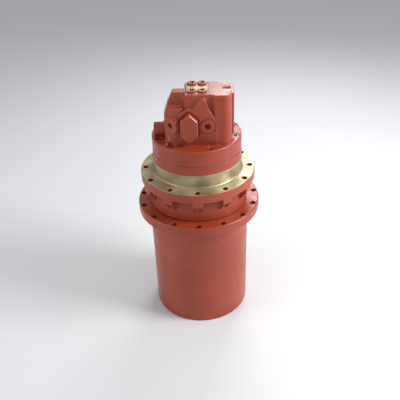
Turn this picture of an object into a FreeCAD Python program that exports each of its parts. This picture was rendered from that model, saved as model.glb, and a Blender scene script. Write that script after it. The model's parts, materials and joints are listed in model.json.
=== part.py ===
"""Excavator final drive: a hydraulic travel motor and a two-stage planetary gearbox in one unit.

Millimetres. +Z runs up the spin axis; z = 0 is the rim of the hub that the unit stands on.
The front is -Y. The hub turns; the spindle, the motor cover and what they carry stand still.
"""
import FreeCAD, Part
import math
import os

os.makedirs("parts", exist_ok=True)
Vector = FreeCAD.Vector
UP = Vector(0, 0, 1)
FRONT = -90.0                    # direction of -Y, degrees from +X

# ---------------------------------------------------------------- fits and gaps
running_clearance = 0.04         # radial, shaft in bearing or spool in bore
lapped_gap = 0.05                # between two faces that slide on oil
end_gap = 2.0                    # beside a turning gear
screw_clearance = 0.4            # radial, screw in its through hole
seat_clearance = 0.1             # radial, cover or spigot in its seat
stop_gap = 0.5                   # between a spool and its stop

socket_head_ratio = 1.6          # head radius over thread radius of a socket screw

# ---------------------------------------------------------------- gear trains
gear_module = 3.5
ring_teeth = 48
sun_teeth = 12
planet_teeth = (ring_teeth - sun_teeth) // 2
pressure_angle = math.radians(25.0)
tooth_backlash = 0.25            # taken off every tooth, along the pitch circle
tip_factor = 1.0
root_factor = 1.25
ring_wall = 9.625                # behind the ring gear's teeth
pitch_radius_sun = gear_module * sun_teeth / 2
pitch_radius_planet = gear_module * planet_teeth / 2
pitch_radius_ring = gear_module * ring_teeth / 2
centre_distance = pitch_radius_sun + pitch_radius_planet
ring_outer_radius = pitch_radius_ring + root_factor * gear_module + ring_wall
first_planet_count = 3
second_planet_count = 4
first_face_width = 30.0
second_face_width = 40.0
first_stage_drop = 8.0           # from the ring gear's lower end to the first planets
carrier_thickness = 12.0
carrier_plate_thickness = 8.0
carrier_gap = 3.0
planet_pin_radius = 12.0
planet_bore_radius = 18.0
pin_seat_depth = 28.0
post_radius = 7.0
post_circle_radius = 64.0
carrier_plate_gap = 4.5          # radial, from the carrier plate to the ring gear's tips
carrier_screw_radius = 4.0
carrier_screw_reach = 20.0       # into the post
sun_shaft_radius = 10.0
sun_neck_radius = 17.0
sun_bore_radius = 12.0
washer_thickness = 2.5
washer_radius = 20.0

# ---------------------------------------------------------------- end cover
end_cover_inset = 2.0
end_cover_thickness = 15.0
end_cover_plate = 10.0
end_cover_spigot = 5.0
end_cover_screw_count = 12
end_cover_screw_radius = 3.0
end_cover_screw_length = 24.0
end_cover_screw_wall = 3.0       # between the screws and the ring gear's seat
end_cover_rim = 1.0              # outside the screw heads
end_cover_screw_circle_radius = ring_outer_radius + end_cover_screw_wall + end_cover_screw_radius
end_cover_radius = end_cover_screw_circle_radius + end_cover_screw_radius * socket_head_ratio + end_cover_rim
end_cover_dish = 3.0
end_cover_dish_radius = 62.0
end_cover_thrust_radius = 20.0
oring_depth = 3.0
oring_width = 3.0
end_cover_plug_radius = 9.0
end_cover_plug_circle_radius = 76.0

# ---------------------------------------------------------------- hub
hub_wall = 5.1                   # outside the end cover
hub_radius = end_cover_radius + seat_clearance + hub_wall
hub_drum_height = 246.0          # from the rim to the pilot band
pilot_lead = 6.0                 # height of the slope from the drum to the pilot band
pilot_step = 3.0
pilot_band_height = 24.0
sprocket_pilot_radius = hub_radius + pilot_step
sprocket_hole_radius = 6.6
sprocket_hole_count = 15
sprocket_hole_reach = 12.5       # from the pilot to the hole circle
sprocket_flange_lip = 10.5       # from the hole circle to the flange's edge
sprocket_bolt_circle_radius = sprocket_pilot_radius + sprocket_hole_reach
sprocket_flange_radius = sprocket_bolt_circle_radius + sprocket_flange_lip
sprocket_flange_thickness = 24.0
flange_edge_round = 4.0
rim_chamfer = 1.5

# ---------------------------------------------------------------- hub bearings and face seal
journal_radius = 76.0
bearing_section = 20.0           # from the journal to the bore in the hub
bearing_bore_radius = journal_radius + bearing_section
bearing_rib = 7.0
hub_rib_radius = bearing_bore_radius - bearing_rib
bearing_width = 26.0
bearing_drop = 40.0              # from the hub's upper face to the upper bearing
bearing_spacing = 36.0
bearing_spacer_wall = 4.0
bearing_nut_height = 12.0
bearing_nut_wall = 12.0
nut_thread_step = 1.0
nut_thread_radius = journal_radius - nut_thread_step
bearing_nut_radius = nut_thread_radius + bearing_nut_wall
roller_count = 14
roller_radius = 4.9
roller_length = 19.0
roller_tilt = math.radians(14.0)
seal_shoulder = 10.0             # behind the upper bearing
seal_shoulder_radius = journal_radius + seal_shoulder
seal_ring_gap = 5.0
seal_ring_width = 10.5
seal_ring_tail = 4.5             # how much narrower the ring is behind its flange
seal_ring_flange = 3.0
seal_ring_height = 11.0
seal_housing_gap = 1.5
seal_housing_depth = 12.0
seal_ring_inner_radius = seal_shoulder_radius + seal_ring_gap
seal_ring_outer_radius = seal_ring_inner_radius + seal_ring_width
seal_housing_radius = seal_ring_outer_radius + seal_housing_gap

# ---------------------------------------------------------------- spindle
nose_step = 3.0
nose_radius = nut_thread_radius - nose_step
skirt_wall = 10.0                # outside the seal housing
skirt_radius = seal_housing_radius + skirt_wall
seal_gap = 2.0                   # open line between the hub and the spindle
cone_start = 23.0                # above the skirt's lower edge
cone_height = 22.0
pocket_height = 56.0             # from the skirt's lower edge to the pockets' ceiling
pocket_angle = 20.0
frame_face_height = 76.0         # from the skirt's lower edge to the frame face
frame_pilot_radius = 100.25
frame_pilot_height = 30.0
frame_land = 10.25               # width of the raised land about the pilot
frame_land_height = 0.6
frame_hole_radius = 6.25
frame_hole_count = 12
frame_hole_reach = 18.25         # from the pilot to the hole circle
frame_flange_lip = 11.0          # from the hole circle to the flange's edge
frame_land_radius = frame_pilot_radius + frame_land
frame_bolt_circle_radius = frame_pilot_radius + frame_hole_reach
frame_flange_radius = frame_bolt_circle_radius + frame_flange_lip
neck_step = 0.75
neck_radius = frame_pilot_radius - neck_step
neck_height = 21.0

# ---------------------------------------------------------------- motor inside the spindle
cavity_radius = 66.0
brake_bore_radius = 62.0
swash_bore_radius = 56.0
cover_spigot_depth = 5.0
valve_plate_thickness = 6.0
valve_plate_radius = 44.0
block_length = 68.0
block_radius = 46.0
piston_count = 7
piston_radius = 9.0
piston_circle_radius = 31.0
piston_bore_depth = 58.0
piston_top_gap = 16.0
block_to_slipper = 54.0
slipper_height = 10.0
slipper_radius = 11.0
slipper_neck_radius = 8.0
slipper_flange = 3.0
retainer_thickness = 4.0
retainer_hole_gap = 0.3
ball_guide_wall = 5.0
ball_guide_top_wall = 1.5
ball_guide_height = 10.0
ball_stud_radius = 5.0
swash_thickness = 24.0
swash_hole_radius = 20.0
motor_shaft_radius = 15.0
motor_shaft_seal_radius = 17.0
motor_shaft_end_radius = 12.0
shaft_bore_radius = 25.0
shaft_bearing_length = 20.0
shaft_seal_height = 8.0
shaft_lip_radius = 20.0
rear_bearing_radius = 20.0
rear_bearing_length = 17.0
spindle_hollow_radius = 24.0
friction_disc_count = 3
brake_disc_thickness = 3.0
brake_disc_gap = 0.15
brake_travel = 2.0
brake_shoulder = 77.0            # from the spindle's top down to the brake discs' seat
brake_step = 41.0                # from the spindle's top down to the brake piston's step
brake_piston_wall = 12.0
brake_spring_closed = 12.0

# ---------------------------------------------------------------- motor cover and valve body
cover_step = 0.5                 # from the neck's edge in to the cover's edge
cover_radius = neck_radius - cover_step
cover_thickness = 35.0
cover_edge_round = 3.0
cover_screw_reach = 12.0         # from the cover's edge in to the screw circle
cover_screw_circle_radius = cover_radius - cover_screw_reach
cover_screw_radius = 5.0
cover_screw_length = 50.0
cover_screw_angles = (-69.0, -37.0, 20.0, 76.0, 108.0, 164.0, 221.0, 253.0)
valve_body_height = 109.0
body_front = -60.0
body_proud = 6.0                 # how far the right-hand part of the front stands forward
body_proud_left = 40.0           # where that part starts
body_back = 17.0
body_left = -22.0
body_right = 76.0
body_corner_round = 18.0
body_edge_round = 3.0
side_left = -66.0                # the sloping block on the left
side_round = 16.0
side_front = -55.0
side_back = -12.0
side_straight = 61.0             # height of its upright part
ledge_left = -57.0
ledge_height = 86.0
shoulder_left = -46.5
shoulder_front = -42.5
shoulder_back = -20.0
connector_back = 4.0             # rear face of the low block behind the drain connector
connector_block_height = 34.0
tail_left = -38.0
tail_right = 55.0
tail_back = 62.0
tail_height = 62.0
foot_height = 6.0
pad_depth = 7.0                  # how far the front pad stands proud
pad_side = 23.5                  # from the counterbalance spool to the pad's left edge
pad_low_top = 42.5               # from the counterbalance spool to the low lobe's top
pad_tall_top = 62.5
pad_right = 20.0                 # from the speed spool to the pad's right edge
pad_edge_round = 2.0
port_pad_depth = 5.0
port_pad_front = -38.0
port_pad_back = 14.0
port_y = -12.0
port_low = 30.0                  # heights of the main ports above the cover disc
port_high = 76.0
port_radius = 13.0
port_depth = 20.0
small_port_x = (12.0, 38.0)      # pilot port and speed port
small_port_height = 22.0
small_port_radius = 8.0
small_port_depth = 16.0

# ---------------------------------------------------------------- valves in the cover
spool_x = -13.5
spool_height = 40.5              # above the cover disc
spool_radius = 11.0
spool_length = 72.0
spool_travel = 7.0
spool_cap_width = 37.0
spool_cap_height = 69.0
spool_cap_depth = 12.0
cap_recess = 3.0
cap_recess_gap = 3.0
cap_recess_round = 8.0
cap_bevel = 2.5
cap_stem = 14.0
rear_cap_depth = 10.0
rear_cap_across = 36.0
speed_x = 24.5
speed_height = 43.0
speed_spool_radius = 9.0
speed_spool_length = 42.0
speed_travel = 7.0
speed_spring_closed = 10.5
speed_plug_radius = 14.5
speed_plug_rim = 3.0
speed_spotface_radius = 18.0
spotface_depth = 1.0
speed_spring_length = speed_travel + speed_spring_closed
speed_bore_depth = spotface_depth + cap_stem + stop_gap + speed_spool_length + speed_spring_length
relief_angle = 40.0              # to the left of the front
relief_root_x = -30.0
relief_root_y = -34.0
relief_boss_length = 33.0
relief_boss_radius = 20.5
relief_height = 44.0
relief_column_radius = 19.0
relief_column_height = 81.0
relief_plug_radius = 18.5
relief_plug_rim = 3.0
relief_stem_radius = 9.0
relief_stem_length = 24.0
relief_socket = 11.0
connector_radius = 15.0
connector_length = 25.0
connector_bore_depth = 32.0
connector_stem = 10.0
connector_y = -14.0
connector_height = 16.0
control_screw_radius = 6.0
control_head_radius = 9.8
control_head_height = 8.0
control_head_proud = 4.0
control_pitch_x = 21.5
control_pitch_y = 42.5
control_centre_x = 4.5
control_centre_y = -19.0
control_cover_margin = 1.5
control_cover_thickness = 12.0
control_screw_length = 28.0

# ================================================================ levels along the axis
end_cover_top = end_cover_inset + end_cover_thickness
ring_bottom = end_cover_top + end_cover_spigot
first_bottom = ring_bottom + first_stage_drop
first_top = first_bottom + first_face_width
carrier_bottom = first_top + carrier_gap
carrier_top = carrier_bottom + carrier_thickness
plate_bottom = carrier_top + carrier_gap
plate_top = plate_bottom + carrier_plate_thickness
second_bottom = plate_top + end_gap
second_top = second_bottom + second_face_width
carrier_face = second_top + end_gap
ring_top = carrier_face + 2 * end_gap

pilot_bottom = hub_drum_height + pilot_lead
sprocket_face = pilot_bottom + pilot_band_height
hub_top = sprocket_face + sprocket_flange_thickness

upper_bearing_top = hub_top - bearing_drop
upper_bearing_bottom = upper_bearing_top - bearing_width
lower_bearing_top = upper_bearing_bottom - bearing_spacing
lower_bearing_bottom = lower_bearing_top - bearing_width
nut_bottom = lower_bearing_bottom - bearing_nut_height

skirt_bottom = hub_top + seal_gap
seal_plane = hub_top + seal_gap / 2
frame_face = skirt_bottom + frame_face_height
frame_pilot_top = frame_face + frame_pilot_height
spindle_top = frame_pilot_top + neck_height
cover_top = spindle_top + cover_thickness
body_top = cover_top + valve_body_height

spigot_bottom = spindle_top - cover_spigot_depth
block_top = spigot_bottom - valve_plate_thickness
block_bottom = block_top - block_length
slipper_top = block_bottom - block_to_slipper
swash_face = slipper_top - slipper_height
swash_bottom = swash_face - swash_thickness
brake_seat = spindle_top - brake_shoulder
brake_ledge = spindle_top - brake_step


# ================================================================ shape helpers
def disc(radius, bottom, top, x=0.0, y=0.0):
    """A plain upright cylinder."""
    return Part.makeCylinder(radius, top - bottom, Vector(x, y, bottom), UP)


def tube(inner, outer, bottom, top, x=0.0, y=0.0):
    """An upright cylinder with a hole through it."""
    return disc(outer, bottom, top, x, y).cut(disc(inner, bottom - 1, top + 1, x, y))


def turned(profile):
    """Turn a closed outline of (radius, height) points about the spin axis."""
    points = [Vector(radius, 0, height) for radius, height in profile]
    face = Part.Face(Part.makePolygon(points + points[:1]))
    return face.revolve(Vector(0, 0, 0), UP, 360)


def polar(radius, degrees, height=0.0):
    """The point at this radius and direction."""
    angle = math.radians(degrees)
    return Vector(radius * math.cos(angle), radius * math.sin(angle), height)


def turned_copy(shape, degrees):
    """A copy turned about the spin axis."""
    copy = shape.copy()
    copy.rotate(Vector(0, 0, 0), UP, degrees)
    return copy


def circle_of(shape, count, start=0.0):
    """Copies of a shape, evenly spaced about the spin axis."""
    return [turned_copy(shape, start + 360.0 * i / count) for i in range(count)]


def prism(outline, bottom, top):
    """An upright prism on a closed outline of (x, y) points."""
    points = [Vector(x, y, bottom) for x, y in outline]
    face = Part.Face(Part.makePolygon(points + points[:1]))
    return face.extrude(Vector(0, 0, top - bottom))


def rounded_prism(outline, rounds, bottom, top):
    """A prism whose corners are rounded, one radius for each corner."""
    edges = []
    starts = []
    ends = []
    for i, radius in enumerate(rounds):
        corner = Vector(outline[i][0], outline[i][1], bottom)
        before = Vector(outline[i - 1][0], outline[i - 1][1], bottom)
        after_index = (i + 1) % len(outline)
        after = Vector(outline[after_index][0], outline[after_index][1], bottom)
        to_before = (before - corner).normalize()
        to_after = (after - corner).normalize()
        half = to_before.getAngle(to_after) / 2
        reach = radius / math.tan(half) if radius else 0.0
        start = corner + to_before * reach
        end = corner + to_after * reach
        starts.append(start)
        ends.append(end)
        if radius:
            bisector = (to_before + to_after).normalize()
            middle = corner + bisector * (radius / math.sin(half) - radius)
            edges.append((i, Part.Arc(start, middle, end).toShape()))
    ordered = []
    arcs = dict(edges)
    for i in range(len(outline)):
        if i in arcs:
            ordered.append(arcs[i])
        following = starts[(i + 1) % len(outline)]
        if (following - ends[i]).Length > 1e-6:
            ordered.append(Part.LineSegment(ends[i], following).toShape())
    face = Part.Face(Part.Wire(ordered))
    return face.extrude(Vector(0, 0, top - bottom))


def rod(start, direction, length, radius):
    """A cylinder from a point along any direction."""
    return Part.makeCylinder(radius, length, start, direction)


def hex_bar(across_flats, start, direction, length):
    """A hexagonal bar from a point along a direction."""
    corner = across_flats / math.sqrt(3.0)
    points = [polar(corner, 60.0 * i) for i in range(6)]
    face = Part.Face(Part.makePolygon(points + points[:1]))
    bar = face.extrude(Vector(0, 0, length))
    bar.Placement = FreeCAD.Placement(start, FreeCAD.Rotation(UP, direction))
    return bar


def write(name, solids):
    """Write one node; several separate solids go out as one group."""
    shape = solids if hasattr(solids, "exportStep") else Part.makeCompound(solids)
    shape.exportStep("parts/" + name + ".step")


# ================================================================ gears
def involute(angle):
    """The involute function."""
    return math.tan(angle) - angle


def tooth_outline(teeth, inner_radius, outer_radius, thinning):
    """Outline of a spur gear: two straight facets follow each involute flank.

    thinning is taken off every tooth along the pitch circle; a negative value fattens it.
    """
    pitch = gear_module * teeth / 2
    base = pitch * math.cos(pressure_angle)
    half_at_pitch = math.pi / (2 * teeth) - thinning / (2 * pitch)

    def half_angle(radius):
        at = math.acos(min(1.0, base / radius))
        return half_at_pitch + involute(pressure_angle) - involute(at)

    flank = [(radius, half_angle(max(radius, base))) for radius in (inner_radius, pitch, outer_radius)]
    points = []
    for tooth in range(teeth):
        centre = 2 * math.pi * tooth / teeth
        for radius, half in flank:
            points.append((radius * math.cos(centre - half), radius * math.sin(centre - half)))
        for radius, half in reversed(flank):
            points.append((radius * math.cos(centre + half), radius * math.sin(centre + half)))
    return points


def spur_gear(teeth, bottom, top):
    """A solid spur gear with a tooth centred on +X."""
    pitch = gear_module * teeth / 2
    inner = pitch - root_factor * gear_module
    outer = pitch + tip_factor * gear_module
    return prism(tooth_outline(teeth, inner, outer, tooth_backlash), bottom, top)


def planet_gear(bottom, top):
    """A planet in mesh with the sun and the ring, standing on the +X side."""
    gear = spur_gear(planet_teeth, bottom, top)
    gear.rotate(Vector(0, 0, 0), UP, 180.0 - 180.0 / planet_teeth)
    gear.translate(Vector(centre_distance, 0, 0))
    return gear.cut(disc(planet_bore_radius, bottom - 1, top + 1, centre_distance))


def make_ring_gear():
    """The ring gear that the hub carries; both stages run in it."""
    inner = pitch_radius_ring - tip_factor * gear_module
    outer = pitch_radius_ring + root_factor * gear_module
    space = tooth_outline(ring_teeth, inner, outer, -tooth_backlash)
    cutter = prism(space, ring_bottom - 1, ring_top + 1)
    cutter.rotate(Vector(0, 0, 0), UP, 180.0 / ring_teeth)
    return disc(ring_outer_radius, ring_bottom, ring_top).cut(cutter)


# ================================================================ screws and plugs
def socket_screw(radius, head_top, length, head_radius, x, y, upside=1):
    """A socket-head screw on a vertical axis; upside is +1 with its head on top, -1 below."""
    head_height = 2 * radius
    socket = radius * 1.6
    axis = Vector(0, 0, -upside)
    start = Vector(x, y, head_top)
    head = rod(start, axis, head_height, head_radius)
    shank = rod(start + axis * head_height, axis, length - head_height, radius)
    return head.fuse(shank).cut(hex_bar(socket, start, axis, head_height * 0.55))


# ================================================================ hub and what turns with it
def make_hub_housing():
    """Cast drum with the sprocket flange, bored for the ring gear, the bearings and the seal."""
    edge = flange_edge_round
    arc = []
    for step in range(4):
        angle = math.radians(30.0 * step)
        arc.append((sprocket_flange_radius - edge + edge * math.cos(angle),
                    hub_top - edge + edge * math.sin(angle)))
    profile = [
        (hub_radius - rim_chamfer, 0.0),
        (hub_radius, rim_chamfer),
        (hub_radius, hub_drum_height),
        (sprocket_pilot_radius, pilot_bottom),
        (sprocket_pilot_radius, sprocket_face),
        (sprocket_flange_radius - rim_chamfer, sprocket_face),
        (sprocket_flange_radius, sprocket_face + rim_chamfer),
    ]
    profile += arc
    profile += [
        (seal_housing_radius, hub_top),
        (seal_housing_radius, hub_top - seal_housing_depth),
        (bearing_bore_radius, hub_top - seal_housing_depth),
        (bearing_bore_radius, upper_bearing_bottom),
        (hub_rib_radius, upper_bearing_bottom),
        (hub_rib_radius, lower_bearing_top),
        (bearing_bore_radius, lower_bearing_top),
        (bearing_bore_radius, ring_top),
        (ring_outer_radius, ring_top),
        (ring_outer_radius, end_cover_top),
        (end_cover_radius + seat_clearance, end_cover_top),
        (end_cover_radius + seat_clearance, 0.0),
    ]
    hub = turned(profile)
    hole = disc(sprocket_hole_radius, sprocket_face - 1, hub_top + 1, sprocket_bolt_circle_radius)
    thread = disc(end_cover_screw_radius, end_cover_top - 1, end_cover_inset + end_cover_screw_length + 2,
                  end_cover_screw_circle_radius)
    holes = circle_of(hole, sprocket_hole_count, FRONT)
    holes += circle_of(thread, end_cover_screw_count, FRONT)
    return hub.cut(holes)


def end_cover_plug_angles():
    """The fill plug and the level plug, a quarter turn apart."""
    return (FRONT, 0.0)


def oring_levels():
    """Lower and upper face of the O-ring's groove, in the middle of the spigot."""
    middle = (end_cover_top + ring_bottom) / 2
    return middle - oring_width / 2, middle + oring_width / 2


def make_end_cover():
    """Round cover over the gears, with a spigot, sunk screw heads and two plugged holes."""
    plate_inner = end_cover_inset + end_cover_plate
    spigot = ring_outer_radius - seat_clearance
    groove_low, groove_high = oring_levels()
    cover = turned([
        (0.0, end_cover_inset + end_cover_dish),
        (end_cover_dish_radius - end_cover_dish, end_cover_inset + end_cover_dish),
        (end_cover_dish_radius, end_cover_inset),
        (end_cover_radius - rim_chamfer, end_cover_inset),
        (end_cover_radius, end_cover_inset + rim_chamfer),
        (end_cover_radius, end_cover_top),
        (spigot, end_cover_top),
        (spigot, groove_low),
        (spigot - oring_depth, groove_low),
        (spigot - oring_depth, groove_high),
        (spigot, groove_high),
        (spigot, ring_bottom),
        (spigot - 10.0, ring_bottom),
        (spigot - 10.0, plate_inner),
        (end_cover_thrust_radius, plate_inner),
        (end_cover_thrust_radius, ring_bottom + end_gap),
        (0.0, ring_bottom + end_gap),
    ])
    head = end_cover_screw_radius * socket_head_ratio + screw_clearance
    hole = disc(end_cover_screw_radius + screw_clearance, 0, end_cover_top + 1,
                end_cover_screw_circle_radius)
    sink = disc(head, 0, end_cover_inset + 2 * end_cover_screw_radius + 1, end_cover_screw_circle_radius)
    holes = circle_of(hole.fuse(sink), end_cover_screw_count, FRONT)
    for degrees in end_cover_plug_angles():
        place = polar(end_cover_plug_circle_radius, degrees)
        holes.append(disc(end_cover_plug_radius, 0, plate_inner + 1, place.x, place.y))
    return cover.cut(holes)


def make_end_cover_oring():
    """O-ring in the groove of the end cover's spigot."""
    groove_low, groove_high = oring_levels()
    return tube(ring_outer_radius - seat_clearance - oring_depth, ring_outer_radius, groove_low, groove_high)


def make_end_cover_plugs():
    """Two socket plugs, flush with the end cover."""
    plugs = []
    for degrees in end_cover_plug_angles():
        start = polar(end_cover_plug_circle_radius, degrees, end_cover_inset + 0.5)
        plug = rod(start, UP, end_cover_plate - 0.5, end_cover_plug_radius)
        plugs.append(plug.cut(hex_bar(end_cover_plug_radius, start, UP, end_cover_plate / 2)))
    return plugs


# ================================================================ hub bearings and face seal
def bearing_pair(make_one):
    """The lower and the upper bearing, mirrored; make_one builds the upper one above z = 0."""
    upper = make_one()
    lower = upper.mirror(Vector(0, 0, 0), UP)
    upper.translate(Vector(0, 0, upper_bearing_bottom))
    lower.translate(Vector(0, 0, lower_bearing_top))
    return [lower, upper]


def raceway_radius(tilt, height):
    """Radius of a raceway cone at a height in the bearing; all cones share one apex."""
    reach = (journal_radius + bearing_bore_radius) / 2 / math.sin(roller_tilt)
    from_apex = reach * math.cos(roller_tilt) + height - bearing_width / 2
    return from_apex * math.tan(tilt)


def roller_half_angle():
    """Half the taper of a roller, from its mean radius and its distance to the apex."""
    reach = (journal_radius + bearing_bore_radius) / 2 / math.sin(roller_tilt)
    return math.atan(roller_radius / reach)


def inner_ring():
    """Inner ring of a taper roller bearing, with its two roller ribs."""
    tilt = roller_tilt - roller_half_angle()
    rib = 1.2
    low = (bearing_width - roller_length) / 2 - 1
    high = bearing_width - low
    return turned([
        (journal_radius, 0.0),
        (raceway_radius(tilt, 0) + rib, 0.0),
        (raceway_radius(tilt, low) + rib, low),
        (raceway_radius(tilt, low) - running_clearance, low),
        (raceway_radius(tilt, high) - running_clearance, high),
        (raceway_radius(tilt, high) + 2 * rib, high),
        (raceway_radius(tilt, high) + 2 * rib, bearing_width),
        (journal_radius, bearing_width),
    ])


def outer_ring():
    """Outer ring of a taper roller bearing."""
    tilt = roller_tilt + roller_half_angle()
    return turned([
        (bearing_bore_radius, 0.0),
        (bearing_bore_radius, bearing_width - 2),
        (raceway_radius(tilt, bearing_width - 2) + running_clearance, bearing_width - 2),
        (raceway_radius(tilt, 0) + running_clearance, 0.0),
    ])


def rollers():
    """One row of taper rollers, each drawn with twelve flats."""
    mean = (journal_radius + bearing_bore_radius) / 2
    half_length = roller_length / 2
    axis = Vector(math.sin(roller_tilt), 0, math.cos(roller_tilt))
    middle = Vector(mean, 0, bearing_width / 2)
    taper = math.tan(roller_half_angle()) * half_length
    ends = []
    for side in (-1, 1):
        corners = [polar(roller_radius + side * taper, 30.0 * i) for i in range(12)]
        outline = Part.makePolygon(corners + corners[:1])
        outline.Placement = FreeCAD.Placement(middle + axis * (side * half_length),
                                              FreeCAD.Rotation(UP, axis))
        ends.append(outline)
    return Part.makeCompound(circle_of(Part.makeLoft(ends, True, True), roller_count))


def make_bearing_nut():
    """Slotted nut that sets the bearing preload."""
    nut = tube(nut_thread_radius, bearing_nut_radius, nut_bottom, lower_bearing_bottom)
    slot_width = 12.0
    slot_depth = 5.0
    slot = Part.makeBox(slot_depth + 1, slot_width, bearing_nut_height + 2,
                        Vector(bearing_nut_radius - slot_depth, -slot_width / 2, nut_bottom - 1))
    return nut.cut(circle_of(slot, 4))


def seal_half(side):
    """Lapped metal ring and its toric ring; side is -1 in the hub and +1 in the spindle."""
    near = seal_plane + side * lapped_gap / 2
    flange = side * seal_ring_flange
    tail = side * seal_ring_height
    behind = seal_ring_outer_radius - seal_ring_tail
    metal = turned([
        (seal_ring_inner_radius, near),
        (seal_ring_outer_radius, near),
        (seal_ring_outer_radius, near + flange),
        (behind, near + flange),
        (seal_ring_inner_radius + seal_ring_tail, near + tail),
        (seal_ring_inner_radius, near + tail),
    ])
    section = seal_housing_radius - behind
    low = near + flange * 1.3
    high = near + tail * 0.9
    toric = turned([
        (behind + section / 10, low),
        (seal_housing_radius - section / 4, low),
        (seal_housing_radius, low + flange / 2),
        (seal_housing_radius, high - flange / 2),
        (seal_housing_radius - section / 4, high),
        (behind + section / 30, high),
    ])
    return metal, toric


# ================================================================ spindle
def make_spindle():
    """Fixed spindle: planet seats, bearing journal, seal skirt, frame flange, pilot and motor bore."""
    web_top = swash_bottom
    seal_seat = web_top - shaft_bearing_length - shaft_seal_height - 3 * end_gap
    lip = 6.0
    face_round = 3.0
    profile = [
        (spindle_hollow_radius, carrier_face),
        (nose_radius, carrier_face),
        (nose_radius, nut_bottom - 2.0),
        (nut_thread_radius, nut_bottom - 2.0),
        (nut_thread_radius, lower_bearing_bottom),
        (journal_radius, lower_bearing_bottom),
        (journal_radius, upper_bearing_top),
        (seal_shoulder_radius, upper_bearing_top),
        (seal_shoulder_radius, skirt_bottom + seal_housing_depth),
        (seal_housing_radius, skirt_bottom + seal_housing_depth),
        (seal_housing_radius, skirt_bottom),
        (skirt_radius, skirt_bottom),
        (skirt_radius, skirt_bottom + cone_start),
        (frame_flange_radius, skirt_bottom + cone_start + cone_height),
        (frame_flange_radius, frame_face - 1.0),
        (frame_flange_radius - 1.0, frame_face),
        (frame_land_radius, frame_face),
        (frame_land_radius - frame_land_height, frame_face + frame_land_height),
        (frame_pilot_radius + face_round, frame_face + frame_land_height),
        (frame_pilot_radius, frame_face + frame_land_height + face_round),
        (frame_pilot_radius, frame_pilot_top),
        (neck_radius, frame_pilot_top),
        (neck_radius, spindle_top - 1.0),
        (neck_radius - 1.0, spindle_top),
        (cavity_radius, spindle_top),
        (cavity_radius, brake_ledge),
        (brake_bore_radius, brake_ledge),
        (brake_bore_radius, brake_seat),
        (swash_bore_radius, brake_seat),
        (swash_bore_radius, web_top),
        (shaft_bore_radius, web_top),
        (shaft_bore_radius, seal_seat),
        (shaft_lip_radius, seal_seat),
        (shaft_lip_radius, seal_seat - lip),
        (spindle_hollow_radius, seal_seat - lip),
    ]
    spindle = turned(profile)
    post = disc(post_radius, plate_top, carrier_face + 1, post_circle_radius)
    spindle = spindle.fuse(circle_of(post, second_planet_count, 180.0 / second_planet_count))

    cuts = []
    pin_hole = disc(planet_pin_radius, carrier_face - 1, carrier_face + pin_seat_depth, centre_distance)
    cuts += circle_of(pin_hole, second_planet_count)
    screw_hole = disc(carrier_screw_radius, plate_top - 1, plate_top + carrier_screw_reach + end_gap,
                      post_circle_radius)
    cuts += circle_of(screw_hole, second_planet_count, 180.0 / second_planet_count)
    bolt_hole = disc(frame_hole_radius, skirt_bottom + cone_start, frame_face + 1, frame_bolt_circle_radius)
    cuts += circle_of(bolt_hole, frame_hole_count, FRONT)
    for degrees in cover_screw_angles:
        place = polar(cover_screw_circle_radius, FRONT + degrees)
        cuts.append(disc(cover_screw_radius, spindle_top - cover_screw_length / 2, spindle_top + 1,
                         place.x, place.y))
    # rectangular pockets in the flange's lower side, one between each two bolt holes
    half = pocket_angle / 2
    wedge = Part.makeCylinder(frame_flange_radius + 5, pocket_height - cone_start + 1,
                              Vector(0, 0, skirt_bottom + cone_start - 1), UP, pocket_angle)
    wedge = wedge.cut(disc(skirt_radius, skirt_bottom, frame_face))
    cuts += circle_of(wedge, frame_hole_count, FRONT - half + 180.0 / frame_hole_count)
    return spindle.cut(cuts)


# ================================================================ planetary stages
def planet_pins(count, bottom, top):
    """Straight pins that carry the planets."""
    return circle_of(disc(planet_pin_radius, bottom, top, centre_distance), count)


def planet_needles(count, bottom, top):
    """Needle sleeves between pins and planets."""
    sleeve = tube(planet_pin_radius, planet_bore_radius - running_clearance, bottom, top, centre_distance)
    return circle_of(sleeve, count)


def make_first_carrier():
    """Three-armed carrier plate of the first stage, on the neck of the second sun."""
    arm_radius = planet_pin_radius + 7.0
    hub_wall = 12.0
    plate = disc(sun_neck_radius + hub_wall, carrier_bottom, carrier_top)
    for degrees in (0.0, 120.0, 240.0):
        eye = disc(arm_radius, carrier_bottom, carrier_top, centre_distance)
        arm = Part.makeBox(centre_distance, 2 * arm_radius, carrier_thickness,
                           Vector(0, -arm_radius, carrier_bottom))
        plate = plate.fuse([turned_copy(eye, degrees), turned_copy(arm, degrees)])
    holes = planet_pins(first_planet_count, carrier_bottom - 1, carrier_top + 1)
    holes.append(disc(sun_neck_radius, carrier_bottom - 1, carrier_top + 1))
    return plate.removeSplitter().cut(holes)


def make_second_sun():
    """Hollow sun of the second stage; its neck is pressed into the first carrier."""
    gear = spur_gear(sun_teeth, plate_bottom - 1.0, second_top + 1.0)
    neck = disc(sun_neck_radius, carrier_bottom, plate_bottom)
    return gear.fuse(neck).cut(disc(sun_bore_radius, carrier_bottom - 1, second_top + 2))


def make_carrier_plate():
    """Fixed plate that holds the lower ends of the second stage's pins."""
    inner = pitch_radius_sun + tip_factor * gear_module + end_gap
    outer = pitch_radius_ring - tip_factor * gear_module - carrier_plate_gap
    plate = tube(inner, outer, plate_bottom, plate_top)
    holes = planet_pins(second_planet_count, plate_bottom - 1, plate_top + 1)
    hole = disc(carrier_screw_radius + screw_clearance, plate_bottom - 1, plate_top + 1, post_circle_radius)
    sink = Part.makeCone(2 * carrier_screw_radius + screw_clearance, carrier_screw_radius + screw_clearance,
                         carrier_screw_radius, Vector(post_circle_radius, 0, plate_bottom), UP)
    holes += circle_of(hole.fuse(sink), second_planet_count, 180.0 / second_planet_count)
    return plate.cut(holes)


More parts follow.
